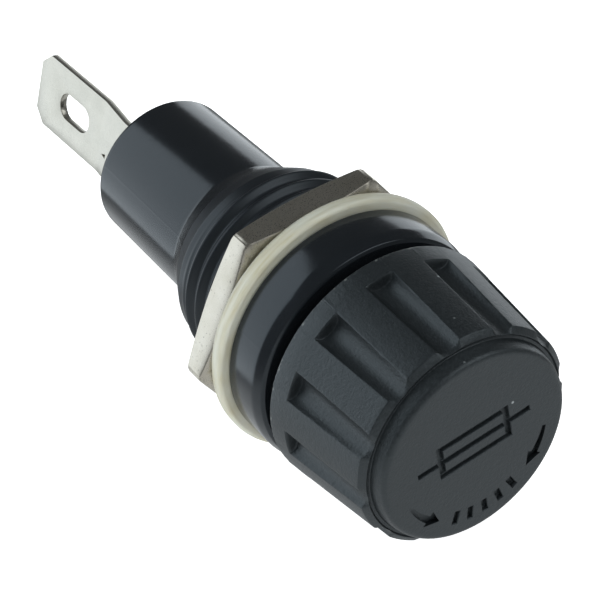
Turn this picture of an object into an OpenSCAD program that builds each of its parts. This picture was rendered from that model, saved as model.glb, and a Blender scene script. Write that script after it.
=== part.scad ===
// Panel-mount holder for a 5 x 20 mm cartridge fuse, with a push-and-turn cap.
// Millimetres. The holder's axis lies along Y with the cap towards -Y, and +Z is up.
// The origin is the centre of the flange's rear face, which seats against the panel.
// Each sub-part is drawn with the axis along its own Z, cap upwards, and then laid down by along_axis().
// A height in that upright position is called a station: 0 at the flange's rear face, positive towards the cap.

/* [Flange and bushing] */
// Outside diameter of the flange
flange_diameter = 14.8; // [14.4:0.1:15.4]
// Thickness of the flange
flange_thickness = 3; // [2.8:0.1:3.2]
// Diameter over the thread's crests
thread_diameter = 12.5; // [12.4:0.05:12.6]
// Pitch of the thread
thread_pitch = 1; // [0.9:0.05:1]
// Length of the bushing behind the flange
bushing_length = 7.6; // [7.4:0.1:8]

/* [Barrel] */
// Diameter of the barrel where it leaves the conical shoulder
barrel_diameter = 9.32; // [9.2:0.02:9.6]
// Diameter of the barrel at its rear end
barrel_rear_diameter = 9.04; // [8.9:0.02:9.2]
// Length from the flange's rear face to the barrel's rear end
body_length = 19; // [18.9:0.1:19.4]

/* [Cap] */
// Diameter of the cap's rear rim
cap_rim_diameter = 14.75; // [14.5:0.05:14.9]
// Diameter over the ribs at the cap's front
cap_front_diameter = 13.36; // [13.2:0.02:13.6]
// Diameter of the raised disc on the cap's face
cap_disc_diameter = 11.76; // [11.4:0.02:12]
// Gap between the flange and the cap at rest
cap_gap = 0.9; // [0.8:0.05:1]
// Length of the cap from its rim to its face
cap_length = 8.35; // [8.2:0.05:8.6]
// Number of flutes round the cap
flute_count = 12; // [10:1:14]
// Width of one flute
flute_width = 1.7; // [1.5:0.05:1.8]

/* [Nut and washer] */
// Width of the nut across its flats
nut_across_flats = 14.6; // [14:0.1:15]
// Thickness of the nut
nut_thickness = 1.96; // [1.8:0.02:2]
// Outside diameter of the washer
washer_diameter = 16; // [15.6:0.1:16.4]
// Thickness of the washer
washer_thickness = 1.12; // [1:0.02:1.12]

/* [Terminals] */
// Width of each blade terminal
blade_width = 4.8; // [4.6:0.1:4.8]
// Thickness of each blade terminal
blade_thickness = 0.5; // [0.4:0.05:0.5]
// Length of the rear blade behind the barrel
rear_blade_length = 11.6; // [11:0.1:12.5]

/* [Hidden] */
$fn = 72;

// Colours of the materials
black_plastic = [0.09, 0.10, 0.11];
cap_plastic = [0.16, 0.17, 0.18];
ivory = [0.84, 0.83, 0.74];
steel = [0.78, 0.79, 0.77];
tin = [0.80, 0.81, 0.78];
brass = [0.80, 0.66, 0.34];
solder = [0.66, 0.67, 0.70];
glass = [0.80, 0.88, 0.90, 0.5];

// Small amounts: overrun of a cut past a face, edge breaks and running clearances
overrun = 0.5;
edge = 0.12;
running = 0.05;

// Body: outside
flange_lip = 0.35;
thread_root_radius = thread_diameter / 2 - 0.35;
thread_turns = 6;
crest_half = 0.12;
flank = 0.28;
first_crest = -1.55;
shoulder_length = 2.4;
barrel_edge = 0.4;

// Body: inside. The bore steps out from the contact's chamber, past the collar, to the carrier's bore
rear_wall_station = -17.2;
fuse_bore_radius = 3;
collar_bore_radius = 3.45;
collar_rear_station = -6;
collar_front_station = -2.3;
carrier_bore_radius = 4.1;
carrier_bore_station = -2.2;
lug_groove_radius = 4.75;
lug_groove_rear = -1.5;
lug_groove_front = 0.45;
lug_entry_width = 36;
lug_turn = 45;
lug_angle = 60;

// Side terminal and its rivet, on the side away from the marks
side_angle = -45;
side_pad_height = 4.7;
side_pad_front = -10;
side_pad_rear = -14.5;
side_blade_front = -10.4;
side_blade_rear = -26.5;
rivet_station = -12;
rivet_radius = 0.7;
strip_width = 2.6;
strip_thickness = 0.3;
strip_rear = -13.2;

// Rear blade: its plane lies beside the axis, and it is set inwards once it is clear of the barrel
rear_blade_turn = -12.5;
blade_inner_offset = -1.95;
blade_outer_offset = -1.6;
blade_tip_offset = -1.82;
jog_start = body_length + 1.4;
jog_end = body_length + 4.4;
blade_tip = body_length + rear_blade_length;
blade_chamfer = [0.8, 0.9];
slot_width = 1.75;
slot_length = 3.3;
slot_from_tip = 2.55;
inner_leg_reach = 1.9;
inner_leg_width = 3.8;

// Rear contact: cup, spring and plunger
cup_floor = rear_wall_station + blade_thickness;
cup_wall = 0.2;
cup_base = 0.3;
cup_radius = 2.95;
cup_rim = -13.1;
plunger_face = -12.2;
plunger_disc = 0.8;
plunger_radius = 2.68;
plunger_stem_radius = 1;
plunger_stem = 2.2;
spring_wire = 0.4;
spring_radius = 2;
spring_turns = 4;
spring_sides = 8;
spring_steps = 16;

// Fuse, 5 x 20 mm
fuse_length = 20;
fuse_front = plunger_face + fuse_length;
fuse_cap_radius = 2.6;
fuse_cap_length = 5.5;
fuse_cap_wall = 0.18;
glass_radius = 2.4;
glass_wall = 0.45;
glass_inset = 0.4;
bead_radius = 0.9;
bead_height = 0.8;
wire_radius = 0.1;

// Cap, carrier and front contact
cap_rim_station = flange_thickness + cap_gap;
cap_face_station = cap_rim_station + cap_length;
rib_front_station = cap_face_station - 1.15;
disc_foot_station = cap_face_station - 0.82;
rib_foot_radius = cap_front_diameter / 2 - 0.3;
disc_edge = 0.16;
flute_rear_station = cap_rim_station + 1.35;
flute_floor_radius = 6.3;
flute_phase = 100.5;
carrier_radius = 4;
carrier_inner_radius = 2.97;
carrier_rear = -1.3;
carrier_front = 9.6;
carrier_wall = 1;
lug_reach = 4.6;
lug_width = 30;
lug_front = 0.4;
lug_thickness = 1;
ferrule_radius = 2.92;
ferrule_inner_radius = 2.62;
ferrule_rear = -4.6;
ferrule_wall = 0.4;
cap_rivet_radius = 0.8;
cap_rivet_head = 1.6;
cap_rivet_tail = 1.3;
cap_rivet_tail_height = 0.45;
rivet_pocket = [1.8, 0.7];
core_inner_radius = 4.8;
core_outer_radius = 5.5;
core_station = 9.4;

// Lays an upright sub-part down, so that its +Z points towards the cap at -Y
module along_axis() {
    rotate([90, 0, 0]) children();
}

// Straight tube or rod between two stations
module tube(outer, inner, from, to) {
    translate([0, 0, from]) difference() {
        cylinder(r = outer, h = to - from);
        if (inner > 0) translate([0, 0, -overrun]) cylinder(r = inner, h = to - from + 2 * overrun);
    }
}

// Sector of a ring, centred on an angle
module ring_sector(outer, inner, from, to, angle, width) {
    rotate([0, 0, angle - width / 2]) translate([0, 0, from])
        rotate_extrude(angle = width) translate([inner, 0]) square([outer - inner, to - from]);
}

// Slot with round ends, lying in the XZ plane and cut through along Y: centred on a station
module slot_cutter(width, length, middle) {
    straight = (length - width) / 2;
    for (end = [-1, 1]) translate([0, 0, middle + end * straight])
        rotate([90, 0, 0]) cylinder(d = width, h = 4 * blade_width, center = true);
    translate([-width / 2, -2 * blade_width, middle - straight])
        cube([width, 4 * blade_width, 2 * straight]);
}

// Cuts the two corners off a blade's rear end
module tip_cutter(tip) {
    for (side = [-1, 1]) rotate([90, 0, 0])
        linear_extrude(height = 4 * blade_width, center = true) polygon([
            [side * (blade_width / 2 - blade_chamfer[0]), tip],
            [side * (blade_width / 2 + overrun), tip - overrun],
            [side * (blade_width / 2 + overrun), tip + blade_chamfer[1] + overrun],
            [side * blade_width / 2, tip + blade_chamfer[1]]
        ]);
}

// Outline of the body from its rear end to the flange's face
function ridge(station) = [
    [thread_root_radius, station - crest_half - flank],
    [thread_diameter / 2, station - crest_half],
    [thread_diameter / 2, station + crest_half],
    [thread_root_radius, station + crest_half + flank]
];

function body_outline() = concat(
    [
        [0, -body_length],
        [barrel_rear_diameter / 2 - barrel_edge, -body_length],
        [barrel_rear_diameter / 2 - 0.3 * barrel_edge, -body_length + 0.3 * barrel_edge],
        [barrel_rear_diameter / 2, -body_length + barrel_edge],
        [barrel_diameter / 2, -bushing_length - shoulder_length],
        [thread_root_radius, -bushing_length]
    ],
    [for (turn = [thread_turns - 1:-1:0]) each ridge(first_crest - turn * thread_pitch)],
    [
        [thread_root_radius, 0],
        [flange_diameter / 2 - edge, 0],
        [flange_diameter / 2, edge],
        [flange_diameter / 2, flange_thickness - flange_lip],
        [flange_diameter / 2 - 0.3 * flange_lip, flange_thickness - 0.3 * flange_lip],
        [flange_diameter / 2 - flange_lip, flange_thickness],
        [0, flange_thickness]
    ]
);

// Moulded body: flange, bushing, shoulder and barrel, with the stepped bore and the cap's locking groove
module holder_body() {
    color(black_plastic) along_axis() difference() {
        union() {
            rotate_extrude() polygon(body_outline());
            rotate([0, 0, side_angle]) translate([0, -blade_width / 2, side_pad_rear])
                cube([side_pad_height, blade_width, side_pad_front - side_pad_rear]);
        }
        tube(fuse_bore_radius, 0, rear_wall_station, 0);
        tube(collar_bore_radius, 0, collar_rear_station - running, carrier_bore_station + overrun);
        tube(carrier_bore_radius, 0, carrier_bore_station, flange_thickness + overrun);
        tube(lug_groove_radius, 0, lug_groove_rear, lug_groove_front);
        for (lug = [0, 180]) ring_sector(lug_groove_radius, 1, lug_groove_rear, flange_thickness + overrun,
            lug_angle + lug_turn + lug, lug_entry_width);
        rotate([0, 0, side_angle]) {
            translate([1, -strip_width / 2 - running, strip_rear - running])
                cube([fuse_bore_radius + strip_thickness - 1 + running, strip_width + 2 * running,
                    collar_front_station - strip_rear]);
            translate([1, 0, rivet_station]) rotate([0, 90, 0]) cylinder(r = rivet_radius, h = blade_width);
        }
        rotate([0, 0, rear_blade_turn])
            translate([blade_inner_offset - blade_thickness / 2, -blade_width / 2, -body_length - overrun])
                cube([blade_thickness, blade_width, body_length + rear_wall_station + overrun]);
    }
}

// Rear blade: an inner leg under the contact cup, the wall passage, a small jog and the slotted blade
module rear_terminal() {
    half = blade_thickness / 2;
    color(tin) along_axis() rotate([0, 0, rear_blade_turn]) difference() {
        union() {
            rotate([90, 0, 0]) linear_extrude(height = blade_width, center = true) polygon([
                [blade_inner_offset - half, rear_wall_station],
                [blade_inner_offset - half, -jog_start],
                [blade_outer_offset - half, -jog_end],
                [blade_tip_offset - half, -blade_tip],
                [blade_tip_offset + half, -blade_tip],
                [blade_outer_offset + half, -jog_end],
                [blade_inner_offset + half, -jog_start],
                [blade_inner_offset + half, rear_wall_station]
            ]);
            translate([blade_inner_offset - half, -inner_leg_width / 2, rear_wall_station])
                cube([inner_leg_reach - blade_inner_offset + half, inner_leg_width, blade_thickness]);
        }
        rotate([0, 0, 90]) {
            slot_cutter(slot_width, slot_length, -blade_tip + slot_from_tip + slot_length / 2);
            tip_cutter(-blade_tip);
        }
    }
}

// Cup that seats the spring and carries the current to the rear blade
module rear_contact_cup() {
    color(brass) along_axis() {
        tube(cup_radius, 0, cup_floor, cup_floor + cup_base);
        tube(cup_radius, cup_radius - cup_wall, cup_floor + cup_base, cup_rim);
    }
}

// Sweeps a round wire along a helix between two stations
module coil(radius, wire, turns, from, to) {
    rings = turns * spring_steps;
    points = [for (ring = [0:rings], side = [0:spring_sides - 1])
        let (turn = 360 * ring / spring_steps, around = 360 * side / spring_sides,
            reach = radius + wire / 2 * cos(around))
        [reach * cos(turn), reach * sin(turn),
            from + wire / 2 + (to - from - wire) * ring / rings + wire / 2 * sin(around)]];
    walls = [for (ring = [0:rings - 1], side = [0:spring_sides - 1])
        let (next = (side + 1) % spring_sides, here = ring * spring_sides, there = here + spring_sides)
        [here + side, there + side, there + next, here + next]];
    ends = [
        [for (side = [0:spring_sides - 1]) side],
        [for (side = [spring_sides - 1:-1:0]) rings * spring_sides + side]
    ];
    polyhedron(points, concat(walls, ends), convexity = 8);
}

// Coil spring between the cup and the plunger
module rear_spring() {
    color(steel) along_axis()
        coil(spring_radius, spring_wire, spring_turns, cup_floor + cup_base, plunger_face - plunger_disc);
}

// Fixed ring contact with its strip, which runs back along the bore to the rivet
module contact_collar() {
    color(brass) along_axis() {
        difference() {
            union() {
                tube(collar_bore_radius - running, 0, collar_rear_station, collar_front_station);
                rotate([0, 0, side_angle]) translate([fuse_bore_radius, -strip_width / 2, strip_rear])
                    cube([strip_thickness, strip_width, collar_rear_station - strip_rear + strip_thickness]);
            }
            tube(fuse_bore_radius, 0, strip_rear - overrun, collar_front_station + overrun);
            rotate([0, 0, side_angle]) translate([0, 0, rivet_station]) rotate([0, 90, 0])
                cylinder(r = rivet_radius, h = blade_width);
        }
    }
}

// Side blade, flat on its pad, held by the rivet
module side_terminal() {
    color(tin) along_axis() rotate([0, 0, side_angle]) difference() {
        translate([side_pad_height, -blade_width / 2, side_blade_rear])
            cube([blade_thickness, blade_width, side_blade_front - side_blade_rear]);
        translate([side_pad_height - overrun, 0, rivet_station]) rotate([0, 90, 0])
            cylinder(r = rivet_radius, h = blade_width);
        rotate([0, 0, 90]) {
            slot_cutter(slot_width, slot_length, side_blade_rear + slot_from_tip + slot_length / 2);
            tip_cutter(side_blade_rear);
        }
    }
}

// Rivet through the strip, the barrel's wall and the side blade
module terminal_rivet() {
    head_foot = side_pad_height + blade_thickness;
    color(steel) along_axis() rotate([0, 0, side_angle]) translate([0, 0, rivet_station]) rotate([0, 90, 0])
        rotate_extrude() polygon([
            [0, fuse_bore_radius + edge],
            [rivet_radius, fuse_bore_radius + edge],
            [rivet_radius, head_foot],
            [1.3, head_foot],
            [1.2, head_foot + 0.25],
            [0.7, head_foot + 0.45],
            [0, head_foot + 0.5]
        ]);
}

// Insulating washer between the panel and the nut
module washer() {
    front = -0.08;
    inner = thread_diameter / 2 + running;
    rim = 0.3;
    color(ivory) along_axis() rotate_extrude() polygon([
        [inner, front - washer_thickness],
        [washer_diameter / 2 - rim, front - washer_thickness],
        [washer_diameter / 2, front - washer_thickness + rim],
        [washer_diameter / 2, front - rim],
        [washer_diameter / 2 - rim, front],
        [inner, front]
    ]);
}

// Thin hexagon nut, with its corners turned down on both faces
module hex_nut() {
    front = -1.24;
    rear = front - nut_thickness;
    corner = nut_across_flats / sqrt(3);
    corner_bevel = 0.36;
    face_radius = nut_across_flats / 2 - 0.15;
    color(steel) along_axis() rotate([0, 0, 7.9]) difference() {
        intersection() {
            translate([0, 0, rear]) cylinder(r = corner, h = nut_thickness, $fn = 6);
            rotate_extrude() polygon([
                [0, rear],
                [face_radius, rear],
                [corner, rear + corner_bevel],
                [corner, front - corner_bevel],
                [face_radius, front],
                [0, front]
            ]);
        }
        tube(thread_diameter / 2 + running, 0, rear - overrun, front + overrun);
    }
}

// Contact button that the spring pushes against the fuse
module rear_plunger() {
    color(brass) along_axis() {
        tube(plunger_radius, 0, plunger_face - plunger_disc, plunger_face);
        tube(plunger_stem_radius, 0, plunger_face - plunger_disc - plunger_stem, plunger_face - plunger_disc);
    }
}

// Outline of the cap: tapered skirt, stepped front and raised disc
function cap_outline() = [
    [0, cap_rim_station],
    [cap_rim_diameter / 2 - edge, cap_rim_station],
    [cap_rim_diameter / 2, cap_rim_station + edge],
    [cap_front_diameter / 2, rib_front_station - edge],
    [cap_front_diameter / 2 - edge, rib_front_station],
    [rib_foot_radius, disc_foot_station],
    [cap_disc_diameter / 2, disc_foot_station],
    [cap_disc_diameter / 2, cap_face_station - disc_edge],
    [cap_disc_diameter / 2 - disc_edge, cap_face_station],
    [0, cap_face_station]
];

// One flute: round-bottomed, square at its rear end and open at the front
module flute() {
    middle = flute_floor_radius + flute_width / 2;
    length = disc_foot_station - flute_rear_station;
    translate([middle, 0, flute_rear_station]) cylinder(d = flute_width, h = length);
    translate([middle, -flute_width / 2, flute_rear_station]) cube([flute_width, flute_width, length]);
}

// Fluted cap, cored out round the socket that holds the carrier
module cap_shell() {
    color(cap_plastic) along_axis() difference() {
        rotate_extrude() polygon(cap_outline());
        tube(carrier_radius + 0.02, 0, cap_rim_station - overrun, carrier_front);
        tube(core_outer_radius, core_inner_radius, cap_rim_station - overrun, core_station);
        tube(rivet_pocket[0], 0, carrier_front - overrun, carrier_front + rivet_pocket[1]);
        for (flute = [0:flute_count - 1]) rotate([0, 0, flute_phase + 360 * flute / flute_count]) flute();
    }
}

// Tube that holds the fuse, with an end wall and the two locking lugs
module fuse_carrier() {
    color(black_plastic) along_axis() difference() {
        union() {
            tube(carrier_radius, 0, carrier_rear, carrier_front);
            for (lug = [0, 180]) ring_sector(lug_reach, carrier_inner_radius + overrun,
                lug_front - lug_thickness, lug_front, lug_angle + lug, lug_width);
        }
        tube(carrier_inner_radius, 0, carrier_rear - overrun, carrier_front - carrier_wall);
        tube(cap_rivet_radius, 0, carrier_front - carrier_wall - overrun, carrier_front + overrun);
    }
}

// Ferrule that grips the fuse's front cap and slides in the collar
module cap_contact() {
    closed_end = carrier_front - carrier_wall;
    color(brass) along_axis() {
        tube(ferrule_radius, ferrule_inner_radius, ferrule_rear, closed_end - ferrule_wall);
        tube(ferrule_radius, cap_rivet_radius, closed_end - ferrule_wall, closed_end);
    }
}

// Rivet that joins the ferrule to the carrier's end wall
module cap_rivet() {
    head_top = carrier_front - carrier_wall - ferrule_wall;
    color(steel) along_axis() {
        tube(cap_rivet_head, 0, fuse_front, head_top);
        tube(cap_rivet_radius, 0, head_top, carrier_front);
        tube(cap_rivet_tail, 0, carrier_front, carrier_front + cap_rivet_tail_height);
    }
}

// Glass tube of the fuse
module fuse_glass() {
    color(glass) along_axis()
        tube(glass_radius, glass_radius - glass_wall, plunger_face + glass_inset, fuse_front - glass_inset);
}

// One metal end cap of the fuse: its closed end lies at a station, and it opens in the given direction
module fuse_cap(station, direction) {
    color(steel) along_axis() translate([0, 0, station]) rotate([direction > 0 ? 0 : 180, 0, 0]) {
        tube(fuse_cap_radius, 0, 0, glass_inset);
        tube(fuse_cap_radius, fuse_cap_radius - fuse_cap_wall, glass_inset, fuse_cap_length);
    }
}

module fuse_cap_front() {
    fuse_cap(fuse_front, -1);
}

module fuse_cap_rear() {
    fuse_cap(plunger_face, 1);
}

// Fuse wire between the two beads
module fuse_element() {
    color(solder) along_axis() tube(wire_radius, 0, plunger_face + glass_inset + bead_height,
        fuse_front - glass_inset - bead_height);
}

// One solder bead, standing on the inside of an end cap
module fuse_solder(station, direction) {
    color(solder) along_axis() translate([0, 0, station]) rotate([direction > 0 ? 0 : 180, 0, 0])
        rotate_extrude() polygon([
            [0, 0],
            [bead_radius, 0],
            [0.8 * bead_radius, 0.6 * bead_height],
            [wire_radius, bead_height],
            [0, bead_height]
        ]);
}

module fuse_solder_front() {
    fuse_solder(fuse_front - glass_inset, -1);
}

module fuse_solder_rear() {
    fuse_solder(plunger_face + glass_inset, 1);
}

holder_body();
rear_terminal();
rear_contact_cup();
rear_spring();
contact_collar();
side_terminal();
terminal_rivet();
washer();
hex_nut();
rear_plunger();
cap_shell();
fuse_carrier();
cap_contact();
cap_rivet();
fuse_glass();
fuse_cap_front();
fuse_cap_rear();
fuse_element();
fuse_solder_front();
fuse_solder_rear();
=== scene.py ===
import math

import bmesh
import bpy
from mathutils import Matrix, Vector, noise


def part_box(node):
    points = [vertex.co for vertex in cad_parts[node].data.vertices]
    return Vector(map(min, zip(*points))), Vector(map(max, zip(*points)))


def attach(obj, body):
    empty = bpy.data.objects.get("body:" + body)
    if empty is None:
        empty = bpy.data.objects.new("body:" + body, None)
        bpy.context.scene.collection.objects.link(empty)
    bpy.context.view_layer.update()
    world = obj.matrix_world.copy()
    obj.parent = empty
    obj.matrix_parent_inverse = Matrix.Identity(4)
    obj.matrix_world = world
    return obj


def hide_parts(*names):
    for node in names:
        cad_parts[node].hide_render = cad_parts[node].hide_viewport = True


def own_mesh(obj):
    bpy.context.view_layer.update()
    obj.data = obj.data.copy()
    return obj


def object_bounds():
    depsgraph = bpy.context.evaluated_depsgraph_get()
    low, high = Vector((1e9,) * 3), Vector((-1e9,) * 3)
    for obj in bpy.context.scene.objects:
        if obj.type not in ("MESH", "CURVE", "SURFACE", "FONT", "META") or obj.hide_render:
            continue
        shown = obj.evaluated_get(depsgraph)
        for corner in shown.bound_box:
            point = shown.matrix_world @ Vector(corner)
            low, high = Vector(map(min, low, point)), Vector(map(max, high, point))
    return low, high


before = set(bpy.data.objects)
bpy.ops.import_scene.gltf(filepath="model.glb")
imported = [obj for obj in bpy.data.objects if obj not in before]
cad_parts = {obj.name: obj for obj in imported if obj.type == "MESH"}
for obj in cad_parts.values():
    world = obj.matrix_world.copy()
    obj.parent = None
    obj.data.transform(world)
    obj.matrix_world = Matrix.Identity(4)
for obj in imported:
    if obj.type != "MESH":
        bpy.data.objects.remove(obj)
cad_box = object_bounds()

# Sizes. The holder's axis is Y, with the cap towards -Y. A station is a distance along the axis: 0 at
# the flange's rear face, positive towards the cap. A bearing is an angle round the axis in degrees,
# from up (+Z) towards +X. All sizes are in mm, and place() turns them into metres.
MM = 0.001


def span(node):
    """(rear station, front station, radius) of a round CAD node, in mm."""
    low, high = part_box(node)
    return -high.y / MM, -low.y / MM, (high.x - low.x) / 2 / MM


BODY_REAR, FLANGE_FRONT, FLANGE_R = span("holder_body")
CAP_RIM, CAP_FACE, CAP_R = span("cap_shell")
WASHER_REAR, WASHER_FRONT, WASHER_R = span("washer")
NUT_REAR, NUT_FRONT, _ = span("hex_nut")
_, CARRIER_FRONT, CARRIER_R = span("fuse_carrier")
PLUNGER_REAR, PLUNGER_FACE, PLUNGER_R = span("rear_plunger")
CUP_REAR, CUP_FRONT, CUP_R = span("rear_contact_cup")
SPRING_REAR, SPRING_FRONT, SPRING_R = span("rear_spring")
FERRULE_REAR, FERRULE_FRONT, FERRULE_R = span("cap_contact")
_, FUSE_FRONT, FUSE_CAP_R = span("fuse_cap_front")
BLADE_TIP = -span("rear_terminal")[0]
SIDE_TIP, SIDE_FRONT, _ = span("side_terminal")

THREAD_R = 6.25
THREAD_GAP = 0.06
ROOT_R = 5.9
PITCH = 1.0
FIRST_CREST = -1.55
RIDGE_HALF_W = 0.46
BUSHING_END = -7.6
SHOULDER_END = -10.0
BARREL_R = 4.66
BARREL_REAR_R = 4.52
PARTING_BEARING = -67.0
PARTING_HEIGHT = 0.009
CAP_ROLL = 11.0


def place(radius, bearing, station):
    """Point in metres at a radius and bearing round the axis, at a station."""
    turn = math.radians(bearing)
    return Vector((radius * math.sin(turn), -station, radius * math.cos(turn))) * MM


def round_the_axis(bearing, reach, height):
    """Point for a noise that has to meet itself after a full turn."""
    turn = math.radians(bearing)
    return Vector((reach * math.sin(turn), reach * math.cos(turn), height))


def smoothstep(low, high, value):
    """0 below low, 1 above high, smooth between."""
    x = min(max((value - low) / (high - low), 0.0), 1.0)
    return x * x * (3 - 2 * x)


# ---- Mesh tools ----
def outline(corners, closed=False, steps=5):
    """Points of an outline from (a, b, fillet radius) corners, with an arc where there is a fillet."""
    points = []
    count = len(corners)
    for i, (a, b, fillet) in enumerate(corners):
        here = Vector((a, b))
        if fillet == 0 or (not closed and i in (0, count - 1)):
            points.append(here)
            continue
        back = (Vector(corners[i - 1][:2]) - here).normalized()
        on = (Vector(corners[(i + 1) % count][:2]) - here).normalized()
        half = back.angle(on) / 2
        reach = fillet / math.tan(half)
        centre = here + (back + on).normalized() * (fillet / math.sin(half))
        start, end = here + back * reach - centre, here + on * reach - centre
        for k in range(steps + 1):
            points.append(centre + start.slerp(end, k / steps).normalized() * fillet)
    return points


def strips(bm, columns, closed, around=True):
    """Quads between neighbouring columns of vertices. closed joins each column's end to its start."""
    neighbours = columns[1:] + columns[:1] if around else columns[1:]
    for here, there in zip(columns, neighbours):
        for k in range(len(here) if closed else len(here) - 1):
            n = (k + 1) % len(here)
            bm.faces.new((here[k], there[k], there[n], here[n]))


def walls(bm, rings):
    """Quads between neighbouring closed rings of vertices."""
    for low, high in zip(rings, rings[1:]):
        for k in range(len(low)):
            n = (k + 1) % len(low)
            bm.faces.new((low[k], low[n], high[n], high[k]))


def close_ends(bm, rings):
    """Faces over the first and last ring. Every face is then turned outwards."""
    bm.faces.new(rings[0])
    bm.faces.new(rings[-1])
    bmesh.ops.recalc_face_normals(bm, faces=bm.faces)
    return bm


def lathe(profile, bearings, relief=None, closed=False):
    """Solid of revolution from (radius, station) points. relief(radius, station, bearing) widens it."""
    bm = bmesh.new()
    rings = []
    for bearing in bearings:
        ring = []
        for radius, station in profile:
            grown = radius + (relief(radius, station, bearing) if relief and radius > 0 else 0)
            ring.append(bm.verts.new(place(grown, bearing, station)))
        rings.append(ring)
    strips(bm, rings, closed)
    return weld(bm)


def weld(bm):
    """Joins coincident points, drops collapsed faces and turns every face outwards."""
    bmesh.ops.remove_doubles(bm, verts=bm.verts, dist=1e-8)
    bmesh.ops.dissolve_degenerate(bm, edges=bm.edges, dist=1e-8)
    bmesh.ops.recalc_face_normals(bm, faces=bm.faces)
    return bm


def evenly(count, extra=()):
    """Bearings of that many columns round the axis, with extra ones slipped in."""
    return sorted({round(360 * k / count, 4) for k in range(count)} | {round(e % 360, 4) for e in extra})


def offset(points, distance):
    """Moves a closed anticlockwise outline inwards by a distance, with mitred corners."""
    moved = []
    count = len(points)
    for i, here in enumerate(points):
        back = (here - points[i - 1]).normalized()
        on = (points[(i + 1) % count] - here).normalized()
        left_a, left_b = Vector((-back.y, back.x)), Vector((-on.y, on.x))
        mitre = (left_a + left_b).normalized()
        moved.append(here + mitre * (distance / max(mitre.dot(left_a), 0.3)))
    return moved


def stacked(bm, loops, put):
    """Walls through (outline, height) pairs of equally many points. put(point, height) places them."""
    rings = [[bm.verts.new(put(p, height)) for p in points] for points, height in loops]
    walls(bm, rings)
    return rings[0], rings[-1]


def fill(bm, rings):
    """Flat face bounded by the first ring, with the other rings as holes or islands."""
    edges = []
    for ring in rings:
        for a, b in zip(ring, ring[1:] + ring[:1]):
            edges.append(bm.edges.get((a, b)) or bm.edges.new((a, b)))
    bmesh.ops.triangle_fill(bm, edges=edges, use_beauty=True)


def box_mesh(corners_low, corners_high, put):
    """Closed box between two corners, mapped by put()."""
    bm = bmesh.new()
    verts = [bm.verts.new(put(x, y, z)) for x in (corners_low[0], corners_high[0])
             for y in (corners_low[1], corners_high[1]) for z in (corners_low[2], corners_high[2])]
    for quad in ((0, 1, 3, 2), (4, 6, 7, 5), (0, 4, 5, 1), (2, 3, 7, 6), (0, 2, 6, 4), (1, 5, 7, 3)):
        bm.faces.new([verts[k] for k in quad])
    bmesh.ops.recalc_face_normals(bm, faces=bm.faces)
    return bm


def new_object(name, bm):
    """Object made from a bmesh, linked to the scene."""
    mesh = bpy.data.meshes.new(name)
    bm.to_mesh(mesh)
    bm.free()
    obj = bpy.data.objects.new(name, mesh)
    bpy.context.scene.collection.objects.link(obj)
    return obj


def carve(obj, tool, operation):
    """Applies one boolean with a throwaway tool object."""
    mod = obj.modifiers.new("carve", "BOOLEAN")
    mod.operation = operation
    mod.solver = "EXACT"
    mod.object = tool
    depsgraph = bpy.context.evaluated_depsgraph_get()
    carved = bpy.data.meshes.new_from_object(obj.evaluated_get(depsgraph))
    obj.modifiers.clear()
    old = obj.data
    obj.data = carved
    bpy.data.meshes.remove(old)
    bpy.data.objects.remove(tool)


def joined(parts):
    """One bmesh that holds several."""
    whole = bmesh.new()
    for part in parts:
        mesh = bpy.data.meshes.new("part")
        part.to_mesh(mesh)
        part.free()
        whole.from_mesh(mesh)
        bpy.data.meshes.remove(mesh)
    return whole


def finish_piece(obj, node, body, material, crease=32):
    """Shades a piece, gives it its material and puts it on its body in place of its CAD node."""
    obj.data.materials.clear()
    obj.data.materials.append(material)
    obj.data.shade_smooth()
    obj.data.set_sharp_from_angle(angle=math.radians(crease))
    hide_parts(node)
    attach(obj, body)
    return obj


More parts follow.
